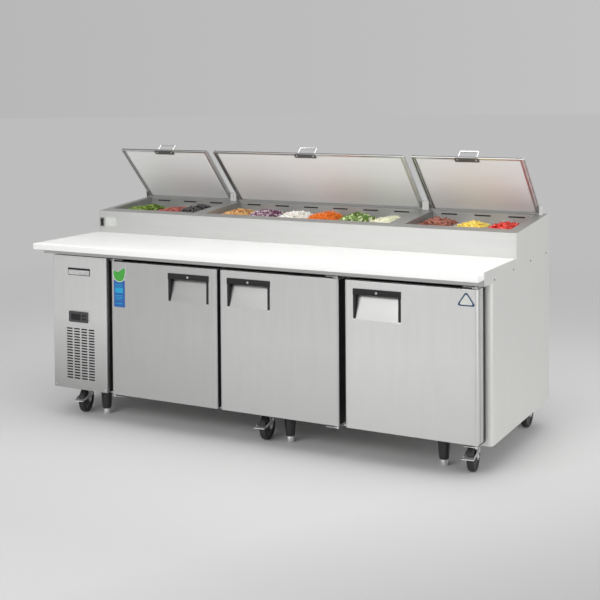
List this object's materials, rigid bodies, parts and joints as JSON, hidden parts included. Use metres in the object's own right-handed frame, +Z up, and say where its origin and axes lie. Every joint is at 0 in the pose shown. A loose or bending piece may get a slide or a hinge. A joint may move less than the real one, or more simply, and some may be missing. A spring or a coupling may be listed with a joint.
{
  "type": "refrigerated sandwich prep table",
  "caption": "Wheeled stainless prep table: refrigerated cupboards below, cutting board along the front, lidded rail of food pans behind.",
  "frame": {"origin": "on the floor, under the middle of the table's width and depth", "axes": "+X to the right of a person facing the doors, +Y from the doors to the back, +Z up"},
  "size_m": [2.365, 1.012, 1.3531],
  "materials": {
    "stainless": "satin, brushed along the length",
    "pan_steel": "bright satin",
    "board_plastic": "matt white",
    "gasket_rubber": "matt black",
    "black_plastic": "fine grain black",
    "black_coated_steel": "satin black",
    "foot_zinc": "satin, turned",
    "wheel_tyre": "smooth dark tread",
    "caster_zinc": "bright zinc plate",
    "coated_wire": "light coated wire",
    "compressor_paint": "semi-gloss black",
    "copper_coil": "finned coil",
    "fan_plastic": "black",
    "aluminium_fins": "fine fins"
  },
  "bodies": {
    "cabinet": {"cabinet_body": "stainless", "rail_housing": "stainless", "left_side_panel": "stainless", "right_side_panel": "stainless", "machine_cover": "stainless", "temperature_display": "black_plastic", "left_leg": "black_coated_steel", "centre_leg": "black_coated_steel", "right_leg": "black_coated_steel", "compressor": "compressor_paint", "condenser_coil": "copper_coil", "evaporator_coil": "aluminium_fins"},
    "left_door": {"left_door": "stainless", "left_door_gasket": "gasket_rubber", "left_door_pull": "black_plastic"},
    "centre_door": {"centre_door": "stainless", "centre_door_gasket": "gasket_rubber", "centre_door_pull": "black_plastic"},
    "right_door": {"right_door": "stainless", "right_door_gasket": "gasket_rubber", "right_door_pull": "black_plastic"},
    "left_lid": {"left_lid": "stainless"},
    "centre_lid": {"centre_lid": "stainless"},
    "right_lid": {"right_lid": "stainless"},
    "pan_01": {"pan_01": "pan_steel"},
    "pan_02": {"pan_02": "pan_steel"},
    "pan_03": {"pan_03": "pan_steel"},
    "pan_04": {"pan_04": "pan_steel"},
    "pan_05": {"pan_05": "pan_steel"},
    "pan_06": {"pan_06": "pan_steel"},
    "pan_07": {"pan_07": "pan_steel"},
    "pan_08": {"pan_08": "pan_steel"},
    "pan_09": {"pan_09": "pan_steel"},
    "pan_10": {"pan_10": "pan_steel"},
    "pan_11": {"pan_11": "pan_steel"},
    "pan_12": {"pan_12": "pan_steel"},
    "board": {"cutting_board": "board_plastic"},
    "left_shelf": {"left_shelf": "coated_wire"},
    "centre_shelf": {"centre_shelf": "coated_wire"},
    "right_shelf": {"right_shelf": "coated_wire"},
    "switch": {"power_switch": "black_plastic"},
    "fan": {"fan_blade": "fan_plastic"},
    "front_left_caster": {"front_left_caster_fork": "caster_zinc"},
    "front_left_wheel": {"front_left_wheel": "wheel_tyre"},
    "front_left_brake": {"front_left_brake_pedal": "caster_zinc"},
    "front_centre_caster": {"front_centre_caster_fork": "caster_zinc"},
    "front_centre_wheel": {"front_centre_wheel": "wheel_tyre"},
    "front_centre_brake": {"front_centre_brake_pedal": "caster_zinc"},
    "front_right_caster": {"front_right_caster_fork": "caster_zinc"},
    "front_right_wheel": {"front_right_wheel": "wheel_tyre"},
    "front_right_brake": {"front_right_brake_pedal": "caster_zinc"},
    "rear_left_caster": {"rear_left_caster_fork": "caster_zinc"},
    "rear_left_wheel": {"rear_left_wheel": "wheel_tyre"},
    "rear_centre_caster": {"rear_centre_caster_fork": "caster_zinc"},
    "rear_centre_wheel": {"rear_centre_wheel": "wheel_tyre"},
    "rear_right_caster": {"rear_right_caster_fork": "caster_zinc"},
    "rear_right_wheel": {"rear_right_wheel": "wheel_tyre"},
    "left_foot": {"left_leg_foot": "foot_zinc"},
    "centre_foot": {"centre_leg_foot": "foot_zinc"},
    "right_foot": {"right_leg_foot": "foot_zinc"}
  },
  "joints": [
    {"name": "left_door_hinge", "type": "hinge", "parent": "cabinet", "child": "left_door", "pos_m": [-0.747, -0.416, 0.155], "axis": [0, 0, -1], "range_deg": [0, 105]},
    {"name": "centre_door_hinge", "type": "hinge", "parent": "cabinet", "child": "centre_door", "pos_m": [0.488, -0.416, 0.155], "axis": [0, 0, 1], "range_deg": [0, 105]},
    {"name": "right_door_hinge", "type": "hinge", "parent": "cabinet", "child": "right_door", "pos_m": [1.141, -0.416, 0.155], "axis": [0, 0, 1], "range_deg": [0, 105]},
    {"name": "left_lid_hinge", "type": "hinge", "parent": "cabinet", "child": "left_lid", "pos_m": [0, 0.452, 1.073], "axis": [-1, 0, 0], "range_deg": [-55.8, 43]},
    {"name": "centre_lid_hinge", "type": "hinge", "parent": "cabinet", "child": "centre_lid", "pos_m": [0, 0.452, 1.073], "axis": [-1, 0, 0], "range_deg": [-55.8, 43]},
    {"name": "right_lid_hinge", "type": "hinge", "parent": "cabinet", "child": "right_lid", "pos_m": [0, 0.452, 1.073], "axis": [-1, 0, 0], "range_deg": [-55.8, 43]},
    {"name": "pan_01_lift", "type": "slide", "parent": "cabinet", "child": "pan_01", "axis": [0, 0, 1], "range_m": [0, 0.08]},
    {"name": "pan_02_lift", "type": "slide", "parent": "cabinet", "child": "pan_02", "axis": [0, 0, 1], "range_m": [0, 0.08]},
    {"name": "pan_03_lift", "type": "slide", "parent": "cabinet", "child": "pan_03", "axis": [0, 0, 1], "range_m": [0, 0.08]},
    {"name": "pan_04_lift", "type": "slide", "parent": "cabinet", "child": "pan_04", "axis": [0, 0, 1], "range_m": [0, 0.08]},
    {"name": "pan_05_lift", "type": "slide", "parent": "cabinet", "child": "pan_05", "axis": [0, 0, 1], "range_m": [0, 0.08]},
    {"name": "pan_06_lift", "type": "slide", "parent": "cabinet", "child": "pan_06", "axis": [0, 0, 1], "range_m": [0, 0.08]},
    {"name": "pan_07_lift", "type": "slide", "parent": "cabinet", "child": "pan_07", "axis": [0, 0, 1], "range_m": [0, 0.08]},
    {"name": "pan_08_lift", "type": "slide", "parent": "cabinet", "child": "pan_08", "axis": [0, 0, 1], "range_m": [0, 0.08]},
    {"name": "pan_09_lift", "type": "slide", "parent": "cabinet", "child": "pan_09", "axis": [0, 0, 1], "range_m": [0, 0.08]},
    {"name": "pan_10_lift", "type": "slide", "parent": "cabinet", "child": "pan_10", "axis": [0, 0, 1], "range_m": [0, 0.08]},
    {"name": "pan_11_lift", "type": "slide", "parent": "cabinet", "child": "pan_11", "axis": [0, 0, 1], "range_m": [0, 0.08]},
    {"name": "pan_12_lift", "type": "slide", "parent": "cabinet", "child": "pan_12", "axis": [0, 0, 1], "range_m": [0, 0.08]},
    {"name": "board_lift", "type": "slide", "parent": "cabinet", "child": "board", "axis": [0, 0, 1], "range_m": [0, 0.03]},
    {"name": "left_shelf_lift", "type": "slide", "parent": "cabinet", "child": "left_shelf", "axis": [0, 0, 1], "range_m": [0, 0.02]},
    {"name": "centre_shelf_lift", "type": "slide", "parent": "cabinet", "child": "centre_shelf", "axis": [0, 0, 1], "range_m": [0, 0.02]},
    {"name": "right_shelf_lift", "type": "slide", "parent": "cabinet", "child": "right_shelf", "axis": [0, 0, 1], "range_m": [0, 0.02]},
    {"name": "power_switch_rock", "type": "hinge", "parent": "cabinet", "child": "switch", "pos_m": [-1.1535, 0.008, 0.94], "axis": [1, 0, 0], "range_deg": [-14, 0]},
    {"name": "fan_spin", "type": "hinge", "parent": "cabinet", "child": "fan", "pos_m": [-0.97, -0.165, 0.33], "axis": [0, 1, 0], "continuous": true},
    {"name": "front_left_caster_swivel", "type": "hinge", "parent": "cabinet", "child": "front_left_caster", "pos_m": [-1.043, -0.253, 0.14], "axis": [0, 0, 1], "range_deg": [-180, 35]},
    {"name": "front_left_wheel_roll", "type": "hinge", "parent": "front_left_caster", "child": "front_left_wheel", "pos_m": [-1.03394, -0.28681, 0.0635], "axis": [0.9659, 0.2588, 0], "continuous": true},
    {"name": "front_left_brake_press", "type": "hinge", "parent": "front_left_caster", "child": "front_left_brake", "pos_m": [-1.03782, -0.27232, 0.088], "axis": [0.9659, 0.2588, 0], "range_deg": [0, 8]},
    {"name": "front_centre_caster_swivel", "type": "hinge", "parent": "cabinet", "child": "front_centre_caster", "pos_m": [0.044, -0.253, 0.14], "axis": [0, 0, 1], "range_deg": [-180, 45]},
    {"name": "front_centre_wheel_roll", "type": "hinge", "parent": "front_centre_caster", "child": "front_centre_wheel", "pos_m": [0.04827, -0.28774, 0.0635], "axis": [0.9925, 0.1219, 0], "continuous": true},
    {"name": "front_centre_brake_press", "type": "hinge", "parent": "front_centre_caster", "child": "front_centre_brake", "pos_m": [0.04644, -0.27285, 0.088], "axis": [0.9925, 0.1219, 0], "range_deg": [0, 8]},
    {"name": "front_right_caster_swivel", "type": "hinge", "parent": "cabinet", "child": "front_right_caster", "pos_m": [1.076, -0.253, 0.14], "axis": [0, 0, 1], "range_deg": [-60, 180]},
    {"name": "front_right_wheel_roll", "type": "hinge", "parent": "front_right_caster", "child": "front_right_wheel", "pos_m": [1.07966, -0.28781, 0.0635], "axis": [0.9945, 0.1045, 0], "continuous": true},
    {"name": "front_right_brake_press", "type": "hinge", "parent": "front_right_caster", "child": "front_right_brake", "pos_m": [1.07809, -0.27289, 0.088], "axis": [0.9945, 0.1045, 0], "range_deg": [0, 8]},
    {"name": "rear_left_caster_swivel", "type": "hinge", "parent": "cabinet", "child": "rear_left_caster", "pos_m": [-1.09, 0.4, 0.14], "axis": [0, 0, 1], "continuous": true},
    {"name": "rear_left_wheel_roll", "type": "hinge", "parent": "rear_left_caster", "child": "rear_left_wheel", "pos_m": [-1.09, 0.435, 0.0635], "axis": [-1, 0, 0], "continuous": true},
    {"name": "rear_centre_caster_swivel", "type": "hinge", "parent": "cabinet", "child": "rear_centre_caster", "pos_m": [0.044, 0.4, 0.14], "axis": [0, 0, 1], "continuous": true},
    {"name": "rear_centre_wheel_roll", "type": "hinge", "parent": "rear_centre_caster", "child": "rear_centre_wheel", "pos_m": [0.044, 0.435, 0.0635], "axis": [-1, 0, 0], "continuous": true},
    {"name": "rear_right_caster_swivel", "type": "hinge", "parent": "cabinet", "child": "rear_right_caster", "pos_m": [1.09, 0.4, 0.14], "axis": [0, 0, 1], "continuous": true},
    {"name": "rear_right_wheel_roll", "type": "hinge", "parent": "rear_right_caster", "child": "rear_right_wheel", "pos_m": [1.09, 0.435, 0.0635], "axis": [-1, 0, 0], "continuous": true},
    {"name": "left_foot_screw", "type": "slide", "parent": "cabinet", "child": "left_foot", "axis": [0, 0, 1], "range_m": [0, 0.02]},
    {"name": "centre_foot_screw", "type": "slide", "parent": "cabinet", "child": "centre_foot", "axis": [0, 0, 1], "range_m": [0, 0.02]},
    {"name": "right_foot_screw", "type": "slide", "parent": "cabinet", "child": "right_foot", "axis": [0, 0, 1], "range_m": [0, 0.02]}
  ]
}
